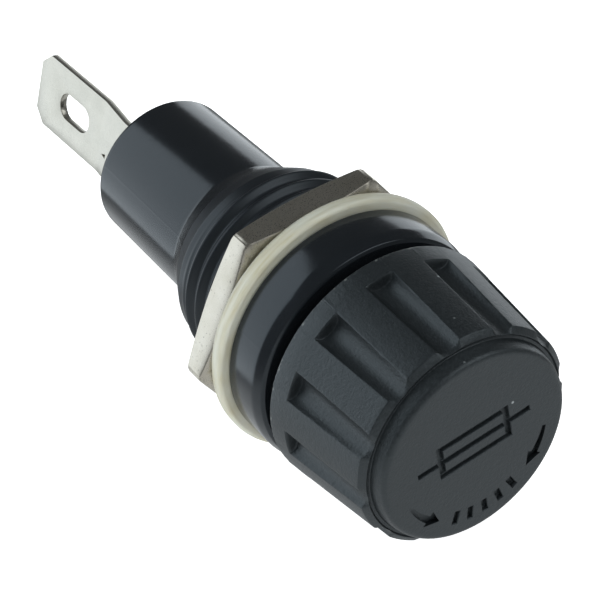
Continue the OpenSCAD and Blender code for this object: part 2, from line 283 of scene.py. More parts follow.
# ---- Materials ----
class Shader:
    """A Principled material and short calls that add and join its nodes."""

    def __init__(self, name, **sockets):
        """Makes the material and sets its Principled sockets."""
        self.material = bpy.data.materials.new(name)
        self.material.use_nodes = True
        self.tree = self.material.node_tree
        self.bsdf = self.tree.nodes["Principled BSDF"]
        self.set(self.bsdf, sockets)
        self.coordinates = self.tree.nodes.new("ShaderNodeTexCoord").outputs["Object"]

    def set(self, node, sockets):
        """Sets a node's input sockets by name, with _ for a space."""
        for key, value in sockets.items():
            node.inputs[key.replace("_", " ")].default_value = value

    def add(self, kind, links=(), **sockets):
        """Adds a node, sets its sockets and links the named inputs."""
        node = self.tree.nodes.new("ShaderNode" + kind)
        self.set(node, sockets)
        for key, source in dict(links).items():
            self.tree.links.new(source, node.inputs[key])
        return node

    def noise(self, per_mm, detail=3.0, roughness=0.5, vector=None):
        """Noise with about that many features a millimetre, from 0 to 1."""
        node = self.add("TexNoise", {"Vector": vector or self.coordinates},
                        Scale=per_mm / MM, Detail=detail, Roughness=roughness)
        return node.outputs["Fac"]

    def ramp(self, source, *stops):
        """Maps a value through (position, value or colour) stops."""
        node = self.tree.nodes.new("ShaderNodeValToRGB")
        self.tree.links.new(source, node.inputs["Fac"])
        elements = node.color_ramp.elements
        while len(elements) < len(stops):
            elements.new(0.5)
        for element, (position, value) in zip(elements, stops):
            element.position = position
            element.color = (value, value, value, 1) if isinstance(value, (int, float)) else (*value, 1)
        return node.outputs["Color"]

    def maths(self, operation, a, b):
        """One Math node; a and b are sockets or numbers."""
        node = self.tree.nodes.new("ShaderNodeMath")
        node.operation = operation
        for socket, value in zip(node.inputs, (a, b)):
            if isinstance(value, (int, float)):
                socket.default_value = value
            else:
                self.tree.links.new(value, socket)
        return node.outputs[0]

    def mix(self, factor, a, b, blend="MIX"):
        """Colour mix; factor, a and b are sockets or values."""
        node = self.tree.nodes.new("ShaderNodeMixRGB")
        node.blend_type = blend
        for socket, value in zip(node.inputs, (factor, a, b)):
            if hasattr(value, "links"):
                self.tree.links.new(value, socket)
            else:
                socket.default_value = value if isinstance(value, (int, float)) else (*value, 1)
        return node.outputs["Color"]

    def polar(self, turns, per_mm_radius, per_mm_axis):
        """Coordinates that run round the axis, for marks left by turning or moulding."""
        parts = self.add("SeparateXYZ", {"Vector": self.coordinates}).outputs
        bearing = self.maths("ARCTAN2", parts["X"], parts["Z"])
        squares = self.maths("ADD", self.maths("MULTIPLY", parts["X"], parts["X"]),
                             self.maths("MULTIPLY", parts["Z"], parts["Z"]))
        radius = self.maths("SQRT", squares, 0)
        node = self.tree.nodes.new("ShaderNodeCombineXYZ")
        for socket, value in zip(node.inputs, (self.maths("MULTIPLY", bearing, turns * MM),
                                               self.maths("MULTIPLY", radius, per_mm_radius),
                                               self.maths("MULTIPLY", parts["Y"], per_mm_axis))):
            self.tree.links.new(value, socket)
        return node.outputs[0]

    def band(self, station, half_width):
        """1 within that distance in mm of a station along the axis, and 0 elsewhere."""
        parts = self.add("SeparateXYZ", {"Vector": self.coordinates}).outputs
        away = self.maths("ABSOLUTE", self.maths("ADD", parts["Y"], station * MM), 0)
        return self.maths("LESS_THAN", away, half_width * MM)

    def bump(self, *layers):
        """Chains bumps, each (height socket, strength, distance in mm)."""
        normal = None
        for height, strength, distance in layers:
            links = {"Height": height}
            if normal:
                links["Normal"] = normal
            normal = self.add("Bump", links, Strength=strength, Distance=distance * MM).outputs["Normal"]
        self.tree.links.new(normal, self.bsdf.inputs["Normal"])

    def drive(self, socket, source):
        """Links an output to a socket of the Principled node."""
        self.tree.links.new(source, self.bsdf.inputs[socket])


def gloss_black():
    """Glossy moulded black with faint flow marks and fine scuffs, duller from flange to shoulder."""
    s = Shader("gloss_black", IOR=1.5, Specular_IOR_Level=0.53, Specular_Tint=(0.84, 0.93, 1.0, 1.0))
    flow = s.noise(0.35, 2)
    scuffs = s.noise(9, 4, 0.7)
    s.drive("Base Color", s.mix(flow, (0.0055, 0.0068, 0.0082), (0.0085, 0.010, 0.012)))
    rough = s.mix(s.ramp(scuffs, (0.45, 0.0), (0.75, 1.0)), (0.15,) * 3, (0.27,) * 3)
    reach = -(BUSHING_END + SHOULDER_END) / 4
    threaded = s.band(-reach, reach)
    s.drive("Roughness", s.mix(threaded, rough, (0.36,) * 3))
    s.bump((s.noise(0.9, 2), 0.25, 0.02), (s.noise(26, 3), 0.12, 0.003))
    return s.material


def matte_cap():
    """Matte moulded black with a fine grain, a few specks of dust and pale flash at the rim."""
    s = Shader("matte_cap", IOR=1.5, Specular_IOR_Level=0.85, Specular_Tint=(0.86, 0.95, 1.0, 1.0))
    blotch = s.noise(0.5, 3)
    grain = s.noise(7, 3, 0.65)
    base = s.mix(blotch, (0.0042, 0.0056, 0.0062), (0.0066, 0.0084, 0.0094))
    base = s.mix(s.ramp(grain, (0.4, 0.0), (0.7, 0.6)), base, (0.013, 0.0155, 0.017))
    cells = s.add("TexVoronoi", {"Vector": s.coordinates}, Scale=0.55 / MM, Randomness=1.0)
    dust = s.ramp(cells.outputs["Distance"], (0.0, 1.0), (0.035, 1.0), (0.06, 0.0))
    chosen = s.ramp(s.noise(0.21, 0), (0.56, 0.0), (0.6, 1.0))
    base = s.mix(s.mix(1.0, dust, chosen, "MULTIPLY"), base, (0.20, 0.22, 0.22))
    scraps = s.ramp(s.noise(3.1, 4, 0.7), (0.55, 0.0), (0.72, 1.0))
    flash = s.mix(1.0, s.band(CAP_RIM + 0.13, 0.07), scraps, "MULTIPLY")
    base = s.mix(flash, base, (0.16, 0.17, 0.16))
    s.drive("Base Color", base)
    s.drive("Roughness", s.ramp(grain, (0.3, 0.38), (0.7, 0.50)))
    s.bump((grain, 0.9, 0.022), (s.noise(3.4, 3, 0.6), 0.5, 0.035))
    return s.material


def ivory():
    """Ivory washer: warm mottling and fine marks that run round it."""
    s = Shader("ivory", IOR=1.5, Subsurface_Weight=0.12, Subsurface_Scale=0.0006)
    s.bsdf.inputs["Subsurface Radius"].default_value = (1.0, 0.8, 0.5)
    marks = s.noise(1.0, 3, 0.6, s.polar(2.2, 1.6, 3.0))
    mottle = s.noise(0.45, 2)
    base = s.mix(s.ramp(marks, (0.35, 0.0), (0.7, 1.0)), (0.50, 0.50, 0.42), (0.38, 0.35, 0.24))
    base = s.mix(s.ramp(mottle, (0.4, 0.0), (0.75, 0.6)), base, (0.46, 0.47, 0.42))
    s.drive("Base Color", base)
    s.drive("Roughness", s.ramp(marks, (0.3, 0.34), (0.7, 0.48)))
    s.bump((marks, 0.3, 0.02), (s.noise(11, 3), 0.25, 0.006))
    return s.material


def metal(name, light, dark, rough, pits=0.5, brushed=0.0):
    """Plated metal with cloudy tarnish, small pits and, if asked, marks drawn along the holder's axis."""
    s = Shader(name, Metallic=1.0)
    cloud = s.noise(0.8, 4, 0.6)
    fine = s.noise(16, 4, 0.7)
    holes = s.ramp(s.noise(6.5, 2), (0.0, 1.0), (0.27, 1.0), (0.34, 0.0))
    base = s.mix(s.ramp(cloud, (0.35, 0.0), (0.7, 1.0)), light, dark)
    base = s.mix(s.mix(1.0, holes, (pits,) * 3, "MULTIPLY"), base, tuple(0.35 * c for c in dark))
    s.drive("Base Color", base)
    s.drive("Roughness", s.ramp(fine, (0.3, rough * 0.8), (0.7, rough * 1.25)))
    layers = [(holes, -0.25 * pits, 0.01), (fine, 0.12, 0.006)]
    if brushed:
        stretch = s.add("VectorMath", {0: s.coordinates})
        stretch.operation = "MULTIPLY"
        stretch.inputs[1].default_value = (1.0, 0.06, 1.0)
        layers.append((s.noise(14, 3, 0.6, stretch.outputs[0]), brushed, 0.004))
    s.bump(*layers)
    return s.material


def clear_glass():
    """Thin clear glass of the fuse's tube, with a faint ripple."""
    s = Shader("fuse_glass", IOR=1.5, Transmission_Weight=1.0, Roughness=0.02)
    s.drive("Base Color", s.mix(s.noise(0.3, 1), (0.93, 0.97, 0.96), (0.97, 0.99, 0.99)))
    s.bump((s.noise(0.7, 1), 0.1, 0.01))
    return s.material


black = gloss_black()
cap_black = matte_cap()
washer_ivory = ivory()
nut_plate = metal("nut_plate", (0.63, 0.59, 0.515), (0.565, 0.525, 0.445), 0.30, 0.8)
tin = metal("tin", (0.58, 0.555, 0.49), (0.53, 0.51, 0.45), 0.30, 0.25, 0.25)
contact_metal = metal("contact_metal", (0.78, 0.64, 0.38), (0.62, 0.49, 0.28), 0.28, 0.3)
spring_wire = metal("spring_wire", (0.58, 0.59, 0.60), (0.42, 0.42, 0.43), 0.25, 0.2, 0.2)
rivet_steel = metal("rivet_steel", (0.62, 0.62, 0.60), (0.48, 0.48, 0.46), 0.33, 0.4)
nickel = metal("nickel", (0.72, 0.71, 0.68), (0.62, 0.61, 0.58), 0.2, 0.3)
solder_grey = metal("solder_grey", (0.55, 0.56, 0.58), (0.42, 0.43, 0.45), 0.4, 0.5)
glass = clear_glass()


# ---- Holder body ----
BORE_R = 3.0
COLLAR_BORE_R = 3.45
CARRIER_BORE_R = 4.1
LUG_GROOVE_R = 4.75
LUG_GROOVE_FRONT, LUG_GROOVE_REAR = 0.45, -1.5
CARRIER_BORE_REAR = -2.2
COLLAR_BORE_REAR = -6.05
REAR_WALL = -17.2
LUG_BEARING = 30.0
LUG_TURN = 45.0
LUG_ENTRY_WIDTH = 36.0

BLADE_W = 4.8
BLADE_T = 0.5
SHEET_T = BLADE_T - 0.02
BLADE_BEARING = 12.5
BLADE_OFFSET = -1.95
PASSAGE_GAP = 0.04

SIDE_BEARING = 135.0
STRIP_HALF_W = 1.35
STRIP_REAR, STRIP_FRONT = -13.25, -2.3
RIVET_STATION = -12.0
RIVET_R = 0.7
PAD_REAR, PAD_FRONT = -14.5, -9.9
PAD_FOOT, PAD_HEIGHT = 3.3, 4.7


def thread_ridge(station, bearing):
    """Height of the right-handed thread's ridge over its root."""
    phase = (station - FIRST_CREST + PITCH * bearing / 360) / PITCH
    away = abs(phase - round(phase)) * PITCH
    crest = 1 - smoothstep(0.0, RIDGE_HALF_W, away)
    run_in = smoothstep(BUSHING_END + 0.35, BUSHING_END + 0.9, station)
    run_out = 1 - smoothstep(-0.5, -0.2, station)
    return (THREAD_R - ROOT_R - 0.01) * crest * (run_in * run_out)


def parting_line(radius, bearing):
    """Fine raised line left by the two halves of the mould."""
    away = abs((bearing - PARTING_BEARING + 90) % 180 - 90)
    return PARTING_HEIGHT * (1 - smoothstep(0.0, 0.09, math.radians(away) * radius))


def body_relief(radius, station, bearing):
    """How far the body stands out of its profile: thread, parting line, and none inside or at the ends."""
    if radius < BARREL_REAR_R - 0.05 or not BODY_REAR + 0.3 <= station <= FLANGE_FRONT - 0.3:
        return 0.0
    if BUSHING_END < station < 0 and radius < THREAD_R:
        return thread_ridge(station, bearing)
    if abs(radius - FLANGE_R) < 0.01:
        return -PARTING_HEIGHT + parting_line(radius, bearing)
    return parting_line(radius, bearing)


def body_profile():
    """Outer and inner outline of the body, from the middle of its rear end to the bottom of its bore."""
    outside = outline([
        (0, BODY_REAR, 0),
        (BARREL_REAR_R, BODY_REAR, 0.42),
        (BARREL_R, SHOULDER_END, 0.9),
        (ROOT_R, BUSHING_END, 0.35),
        (ROOT_R, BUSHING_END + 0.3, 0),
    ])
    thread_rows = 150
    first, last = BUSHING_END + 0.3, -0.02
    threaded = [Vector((ROOT_R, first + (last - first) * k / thread_rows))
                for k in range(1, thread_rows + 1)]
    front = outline([
        (ROOT_R, 0, 0),
        (FLANGE_R, 0, 0.12),
        (FLANGE_R, FLANGE_FRONT - 0.75, 1.6),
        (FLANGE_R - 0.2, FLANGE_FRONT - 0.12, 0.12),
        (FLANGE_R - 0.4, FLANGE_FRONT, 0.1),
        (CARRIER_BORE_R, FLANGE_FRONT, 0.15),
        (CARRIER_BORE_R, LUG_GROOVE_FRONT, 0),
        (LUG_GROOVE_R, LUG_GROOVE_FRONT, 0),
        (LUG_GROOVE_R, LUG_GROOVE_REAR, 0),
        (CARRIER_BORE_R, LUG_GROOVE_REAR, 0),
        (CARRIER_BORE_R, CARRIER_BORE_REAR, 0),
        (COLLAR_BORE_R, CARRIER_BORE_REAR, 0),
        (COLLAR_BORE_R, COLLAR_BORE_REAR, 0),
        (BORE_R, COLLAR_BORE_REAR, 0),
        (BORE_R, REAR_WALL, 0),
        (0, REAR_WALL, 0),
    ])
    return outside + threaded + front


def side_frame(bearing):
    """Returns a map from (across, outwards, station) beside the barrel to a place in metres."""
    turn = math.radians(bearing)
    out = Vector((math.sin(turn), 0, math.cos(turn)))
    across = Vector((math.cos(turn), 0, -math.sin(turn)))

    def put(x, y, station):
        return (across * x + out * y + Vector((0, -station, 0))) * MM
    return put


def ring_sector(inner, outer, rear, front, bearing, width):
    """Closed sector of a ring."""
    bm = bmesh.new()
    steps = 16
    rings = []
    for k in range(steps + 1):
        at = bearing - width / 2 + width * k / steps
        rings.append([bm.verts.new(place(r, at, s))
                      for r, s in ((inner, rear), (outer, rear), (outer, front), (inner, front))])
    strips(bm, rings, closed=True, around=False)
    return close_ends(bm, rings)


def peg(radius, low, high, put):
    """Closed round peg at the rivet's station, between two heights of a side frame."""
    sides = 32
    bm = bmesh.new()
    circle = [(radius * math.cos(math.tau * k / sides), radius * math.sin(math.tau * k / sides))
              for k in range(sides)]
    rings = [[bm.verts.new(put(x, height, RIVET_STATION + z)) for x, z in circle] for height in (low, high)]
    walls(bm, rings)
    return close_ends(bm, rings)


def blade_frame(x, y, station):
    """Maps (thickness, across, station) in the rear blade's own frame to a place in metres."""
    turn = math.radians(BLADE_BEARING)
    across = Vector((math.sin(turn), 0, math.cos(turn)))
    through = Vector((math.cos(turn), 0, -math.sin(turn)))
    return (through * x + across * y + Vector((0, -station, 0))) * MM


def make_body():
    """The moulded body, with its bore, locking groove, side pad and the passages for the contacts."""
    fine_steps = (-1.2, -0.9, -0.6, -0.3, 0, 0.3, 0.6, 0.9, 1.2)
    seams = [PARTING_BEARING + side + step for side in (0, 180) for step in fine_steps]
    body = new_object("body", lathe(body_profile(), evenly(180, seams), body_relief))
    side = side_frame(SIDE_BEARING)
    pad = box_mesh((-BLADE_W / 2, PAD_FOOT, PAD_REAR), (BLADE_W / 2, PAD_HEIGHT, PAD_FRONT), side)
    bmesh.ops.bevel(pad, geom=list(pad.edges), offset=0.15 * MM, segments=2, affect="EDGES", profile=0.5)
    carve(body, new_object("pad", pad), "UNION")
    half_t, half_w = BLADE_T / 2 + PASSAGE_GAP, BLADE_W / 2 + PASSAGE_GAP
    tools = [
        box_mesh((-STRIP_HALF_W, 1.0, STRIP_REAR), (STRIP_HALF_W, 3.35, STRIP_FRONT), side),
        peg(RIVET_R, 3.1, 6.0, side),
        box_mesh((BLADE_OFFSET - half_t, -half_w, BODY_REAR - 0.5),
                 (BLADE_OFFSET + half_t, half_w, REAR_WALL + 0.2), blade_frame),
    ]
    for turn in (0, 180):
        tools.append(ring_sector(3.5, LUG_GROOVE_R, 0.2, FLANGE_FRONT + 0.5,
                                 LUG_BEARING - LUG_TURN + turn, LUG_ENTRY_WIDTH))
    carve(body, new_object("tools", joined(tools)), "DIFFERENCE")
    return finish_piece(body, "holder_body", "holder", black, 28)


make_body()


# ---- Washer and nut ----
def make_washer():
    """Moulded washer with a well rounded rim."""
    inner = THREAD_R + THREAD_GAP
    front_rounding, rear_rounding = 0.3, 0.56
    ring = outline([
        (inner, WASHER_REAR, 0.06),
        (WASHER_R, WASHER_REAR, rear_rounding),
        (WASHER_R, WASHER_FRONT, front_rounding),
        (inner, WASHER_FRONT, 0.06),
    ], closed=True, steps=8)

    def wave(radius, station, bearing):
        ripple = noise.noise(round_the_axis(bearing, 2.3, station)) + 1
        return -0.02 * ripple if radius > WASHER_R - 0.2 else 0
    return finish_piece(new_object("washer_ring", lathe(ring, evenly(192), wave, closed=True)),
                        "washer", "washer", washer_ivory, 40)


NUT_CORNER_BEARING = -37.9
NUT_HALF_FLATS = 7.3
NUT_FACE_R = 7.15
NUT_BEVEL = 0.36
NUT_CORNER_LOSS = 0.075


def make_nut():
    """Hexagon nut with turned-down corners on both faces and a plain bore with countersinks."""
    corner = NUT_HALF_FLATS / math.cos(math.radians(30))
    bore = THREAD_R + THREAD_GAP
    sink_depth, sink_width = 0.32, 0.3
    slope = NUT_BEVEL / (corner - NUT_FACE_R)
    half_columns = (0, 0.35, 0.7, 1.1, 1.6, 2.4, 4, 6, 8, 10, 12, 14, 16, 18, 20, 22, 24, 26, 28)
    steps = sorted({-c for c in half_columns} | set(half_columns) | {-30})
    columns = [NUT_CORNER_BEARING + 60 * k + step for k in range(6) for step in steps]

    def reach(bearing):
        """Distance to the flat, with the corner rounded a little."""
        away = abs((bearing - NUT_CORNER_BEARING + 30) % 60 - 30)
        sharp = NUT_HALF_FLATS / math.cos(math.radians(30 - away))
        return sharp - NUT_CORNER_LOSS * (1 - smoothstep(0.0, 1.6, away))

    bm = bmesh.new()
    rings = []
    for bearing in columns:
        wide = reach(bearing)
        rows = []
        for face, sign, soft in ((NUT_REAR, 1, 0.07), (NUT_FRONT, -1, 0.13)):
            drop = (wide - NUT_FACE_R) * slope
            half = [(bore, face + sign * sink_depth), (bore + sink_width, face),
                    (NUT_FACE_R - 0.03, face), (NUT_FACE_R + 0.03, face + sign * 0.03 * slope),
                    (wide - soft, face + sign * (drop - soft * slope)),
                    (wide - 0.3 * soft, face + sign * (drop + 0.25 * soft)),
                    (wide, face + sign * (drop + soft))]
            rows += half if sign > 0 else half[::-1]
        rings.append([bm.verts.new(place(r, bearing, s)) for r, s in rows])
    strips(bm, rings, closed=True)
    return finish_piece(new_object("nut", weld(bm)), "hex_nut", "nut", nut_plate, 24)


make_washer()
make_nut()


# ---- Cap: ribs and flutes, stepped front and the marks on its face ----
RIB_FRONT = CAP_FACE - 1.15
DISC_FOOT = CAP_FACE - 0.82
RIB_FRONT_R = 6.68
CHANNEL_DEPTH = 0.15
DISC_R = 5.88
FLUTES = 12
FLUTE_BEARING = -10.5
FLUTE_HALF = 0.85
FLUTE_FLOOR = 6.3
FLUTE_REAR = CAP_RIM + 1.35
FLUTE_RISE = 0.3
FLUTE_SQUARENESS = 2.1
FLUTE_EDGE = 0.05
FLASH_HEIGHT = 0.09
FLASH_SINK = 0.02
CAP_BORE_R, CAP_BORE_END = 5.5, 9.4
SLEEVE_R = 4.8
SLEEVE_RIM = CAP_RIM + 0.1
SOCKET_R = CARRIER_R + 0.02
RIVET_POCKET_R, RIVET_POCKET_DEPTH = 1.8, 0.7
MARK_DEPTH = 0.3
MARK_WALL = ((-0.03, 0.0), (-0.008, 0.02), (0.012, 0.07),
             (0.035, MARK_DEPTH - 0.05), (0.075, MARK_DEPTH))


def flute_relief(radius, station, bearing):
    """How far the cap's outside is cut back at a place by its flutes."""
    if radius < FLUTE_FLOOR - 0.02 or station < FLUTE_REAR - 0.12:
        return 0.0
    away = abs((bearing - FLUTE_BEARING + 180 / FLUTES) % (360 / FLUTES) - 180 / FLUTES)
    across = math.radians(away) * (FLUTE_FLOOR + 0.5)
    bowl = min(across / FLUTE_HALF, 1.0)
    rise = FLUTE_RISE * (RIB_FRONT - station) / (RIB_FRONT - FLUTE_REAR)
    side = 1 - (1 - bowl ** FLUTE_SQUARENESS) ** (1 / FLUTE_SQUARENESS)
    floor = FLUTE_FLOOR + rise + FLUTE_HALF * side
    if across >= FLUTE_HALF:
        floor += 3 * (across - FLUTE_HALF)
    gap = floor - radius
    if gap >= 6 * FLUTE_EDGE:
        return 0.0
    blended = 0.5 * (gap - math.sqrt(gap * gap + FLUTE_EDGE * FLUTE_EDGE))
    return blended * smoothstep(FLUTE_REAR - 0.07, FLUTE_REAR + 0.07, station)


def cap_profile():
    """Outside of the cap from its rim to the edge of its face, with extra rows where the flutes start."""
    taper = (RIB_FRONT_R - CAP_R) / (RIB_FRONT - CAP_RIM)

    def skirt(station):
        return CAP_R + taper * (station - CAP_RIM)
    near = (-0.12, -0.09, -0.07, -0.05, -0.03, -0.01, 0.01, 0.03, 0.05, 0.07, 0.09, 0.14, 0.22, 0.4)
    long_rows = 24
    start, stop = FLUTE_REAR + 0.6, RIB_FRONT - 0.3
    stations = [FLUTE_REAR + step for step in near]
    stations += [start + (stop - start) * k / long_rows for k in range(long_rows + 1)]
    rows = outline([(CAP_R - 0.5, CAP_RIM, 0), (CAP_R, CAP_RIM, 0.12), (skirt(CAP_RIM + 1), CAP_RIM + 1, 0)])
    rows += [Vector((skirt(station), station)) for station in stations]
    rows += outline([
        (skirt(RIB_FRONT - 0.25), RIB_FRONT - 0.25, 0),
        (RIB_FRONT_R, RIB_FRONT, 0.12),
        (FLUTE_FLOOR + 0.02, DISC_FOOT - 0.04, 0.04),
        (FLUTE_FLOOR - 0.06, DISC_FOOT - CHANNEL_DEPTH, 0.06),
        (DISC_R + 0.17, DISC_FOOT - CHANNEL_DEPTH, 0.06),
        (DISC_R, CAP_FACE, 0.34),
        (DISC_R - 0.45, CAP_FACE, 0),
    ])
    return rows


def cap_inside():
    """Inside of the cap, from its rim to the middle of the pocket for the rivet's head."""
    return outline([
        (CAP_BORE_R, CAP_RIM, 0.1),
        (CAP_BORE_R, CAP_BORE_END, 0),
        (SLEEVE_R, CAP_BORE_END, 0),
        (SLEEVE_R, SLEEVE_RIM, 0),
        (SOCKET_R, SLEEVE_RIM, 0),
        (SOCKET_R, CARRIER_FRONT, 0),
        (RIVET_POCKET_R, CARRIER_FRONT, 0),
        (RIVET_POCKET_R, CARRIER_FRONT + RIVET_POCKET_DEPTH, 0),
        (0, CARRIER_FRONT + RIVET_POCKET_DEPTH, 0),
    ])


def rim_flash(station, bearing):
    """Ragged scraps of flash on the cap's rear rim."""
    coarse = noise.noise(round_the_axis(bearing, 51, 3.1))
    fine = noise.noise(round_the_axis(bearing, 190, 7.7))
    scrap = max(coarse * 0.6 + fine * 0.4 - 0.1, 0)
    return FLASH_HEIGHT * scrap * (1 - smoothstep(CAP_RIM + 0.1, CAP_RIM + 0.25, station))


def cap_relief(radius, station, bearing):
    """How far the cap's outside stands out of its profile: flash at the rim, less the flutes."""
    flash = 0.0
    if radius > CAP_R - 0.2 and station < CAP_RIM + 0.3:
        flash = rim_flash(station, bearing) - FLASH_SINK
    return flash + flute_relief(radius, station, bearing)


def rectangle(left, low, right, high):
    """Corners of an upright rectangle, anticlockwise."""
    return [Vector(p) for p in ((left, low), (right, low), (right, high), (left, high))]


def arrow_outline(side):
    """Arrow that bends round the foot of the face, from a thin tail to a wide head. side is -1 or 1."""
    middle, barb = 4.65, 0.55
    tail, neck, tip = 71.0, 50.0, 38.0
    steps = 12

    def spot(radius, away):
        turn = math.radians(-90 + side * away)
        return Vector((radius * math.cos(turn), radius * math.sin(turn)))
    inner, outer = [], []
    for k in range(steps + 1):
        away = tail + (neck - tail) * k / steps
        half = 0.14 + 0.12 * k / steps
        inner.append(spot(middle - half, away))
        outer.append(spot(middle + half, away))
    head = [spot(middle - barb, neck), spot(middle, tip), spot(middle + barb, neck)]
    points = inner + head + outer[::-1]
    return points if side < 0 else points[::-1]


def fuse_symbol():
    """Circuit symbol of a fuse, as (outline, islands): a box with a wire through it."""
    half_w, half_h, stroke, wire = 2.15, 0.95, 0.19, 3.65
    wide, high = half_w + stroke, half_h + stroke
    lift = 0.35
    line = [
        (-wide, -high), (wide, -high), (wide, -stroke), (wire, -stroke), (wire, stroke), (wide, stroke),
        (wide, high), (-wide, high), (-wide, stroke), (-wire, stroke), (-wire, -stroke), (-wide, -stroke)
    ]
    islands = [
        rectangle(-half_w + stroke, -half_h + stroke + lift, half_w - stroke, -stroke + lift),
        rectangle(-half_w + stroke, stroke + lift, half_w - stroke, half_h - stroke + lift),
    ]
    return [Vector((x, y + lift)) for x, y in line], islands


def tick_outline(away):
    """Short tick that points at the middle of the face, at an angle from the face's foot."""
    outer, inner, half_w = 5.0, 4.15, 0.18
    turn = math.radians(away)
    out = Vector((math.sin(turn), -math.cos(turn)))
    side = Vector((math.cos(turn), math.sin(turn))) * half_w
    return [out * outer - side, out * outer + side, out * inner + side, out * inner - side]


def press_marks(bm, rim):
    """Fills the cap's face inside its rim of vertices, with the marks pressed into it."""
    marks = [fuse_symbol(), (arrow_outline(-1), []), (arrow_outline(1), [])]
    marks += [(tick_outline(away), []) for away in (-24, -12, 0, 12, 24)]
    roll = math.radians(CAP_ROLL)

    def put(point, depth):
        x = point.x * math.cos(roll) - point.y * math.sin(roll)
        z = point.x * math.sin(roll) + point.y * math.cos(roll)
        return Vector((x, -(CAP_FACE - depth), z)) * MM
    face_rings = [rim]
    for points, islands in marks:
        floor_rings = []
        for loop, inwards in [(points, 1)] + [(island, -1) for island in islands]:
            stack = [(offset(loop, inwards * away), depth) for away, depth in MARK_WALL]
            top, bottom = stacked(bm, stack, put)
            face_rings.append(top)
            floor_rings.append(bottom)
        fill(bm, floor_rings)
    fill(bm, face_rings)


def make_cap():
    """Fluted cap as one closed mesh, with columns crowded where the flutes' sides are."""
    half = (1.4, 2.8, 4.2, 5.2, 6.0, 6.5, 6.8, 7.0, 7.2, 7.4, 7.6, 7.9, 8.4, 9.5, 12)
    steps = [-180 / FLUTES, 0, *half, *(-step for step in half)]
    bearings = sorted(FLUTE_BEARING + 360 / FLUTES * k + step for k in range(FLUTES) for step in steps)
    inside = cap_inside()[::-1]
    outside = cap_profile()
    bm = bmesh.new()
    rings = []
    for bearing in bearings:
        ring = [bm.verts.new(place(r, bearing, s)) for r, s in inside]
        ring += [bm.verts.new(place(r + cap_relief(r, s, bearing), bearing, s)) for r, s in outside]
        rings.append(ring)
    strips(bm, rings, closed=False)
    press_marks(bm, [ring[-1] for ring in rings])
    return finish_piece(new_object("cap", weld(bm)), "cap_shell", "cap", cap_black, 30)


make_cap()


# ---- Blades and rivet ----
CHAMFER = (0.8, 0.9)
SLOT_W = 1.75
SLOT_L = 3.3
SLOT_FROM_TIP = 2.55


def slot_outline(middle):
    """Slot with round ends along the blade, as (across, along) points, anticlockwise."""
    steps = 10
    radius, straight = SLOT_W / 2, (SLOT_L - SLOT_W) / 2
    points = []
    for end, first in ((1, 0), (-1, math.pi)):
        centre = middle + end * straight
        for k in range(steps + 1):
            turn = math.pi * k / steps + first
            points.append(Vector((radius * math.cos(turn), centre + radius * math.sin(turn))))
    return points


def hole_outline(radius, middle):
    """Round hole, as (across, along) points, anticlockwise."""
    sides = 28
    turns = [math.tau * k / sides for k in range(sides)]
    return [Vector((radius * math.cos(turn), middle + radius * math.sin(turn))) for turn in turns]


def plate(outer, holes, bend, stations):
    """Sheet-metal part: an outline with holes and broken edges, cut at stations along it and then bent.
    bend(across, along, through) gives the place."""
    bm = bmesh.new()
    half = SHEET_T / 2
    broken, rounded = 0.045, 0.0135
    tops, bottoms = [], []
    for loop, inwards in [(outer, 1)] + [(hole, -1) for hole in holes]:
        flat, curve = offset(loop, inwards * broken), offset(loop, inwards * rounded)
        stack = [(flat, -half), (curve, -half + rounded), (loop, -half + broken),
                 (loop, half - broken), (curve, half - rounded), (flat, half)]
        low, high = stacked(bm, stack, lambda p, height: Vector((p.x, p.y, height)))
        bottoms.append(low)
        tops.append(high)
    fill(bm, bottoms)
    fill(bm, tops)
    for station in stations:
        bmesh.ops.bisect_plane(bm, geom=list(bm.verts) + list(bm.edges) + list(bm.faces), dist=1e-5,
                               plane_co=(0, station, 0), plane_no=(0, 1, 0))
    for vert in bm.verts:
        vert.co = bend(*vert.co)
    return weld(bm)


class Track:
    """A bent centre line in the blade's side view, followed by its length."""

    def __init__(self, corners):
        self.points = outline(corners, steps=6)
        self.lengths = [0.0]
        for a, b in zip(self.points, self.points[1:]):
            self.lengths.append(self.lengths[-1] + (b - a).length)

    def at(self, length):
        """(point, normal) at a length along the line; at a bend the normal is between its two sides'."""
        k = 0
        while k < len(self.lengths) - 2 and length > self.lengths[k + 1] + 1e-6:
            k += 1
        here, there = self.points[k], self.points[k + 1]
        along = (there - here).normalized()
        spot = here + along * (length - self.lengths[k])
        if abs(length - self.lengths[k + 1]) < 1e-4 and k + 2 < len(self.points):
            along = (along + (self.points[k + 2] - there).normalized()).normalized()
        return spot, Vector((-along.y, along.x))


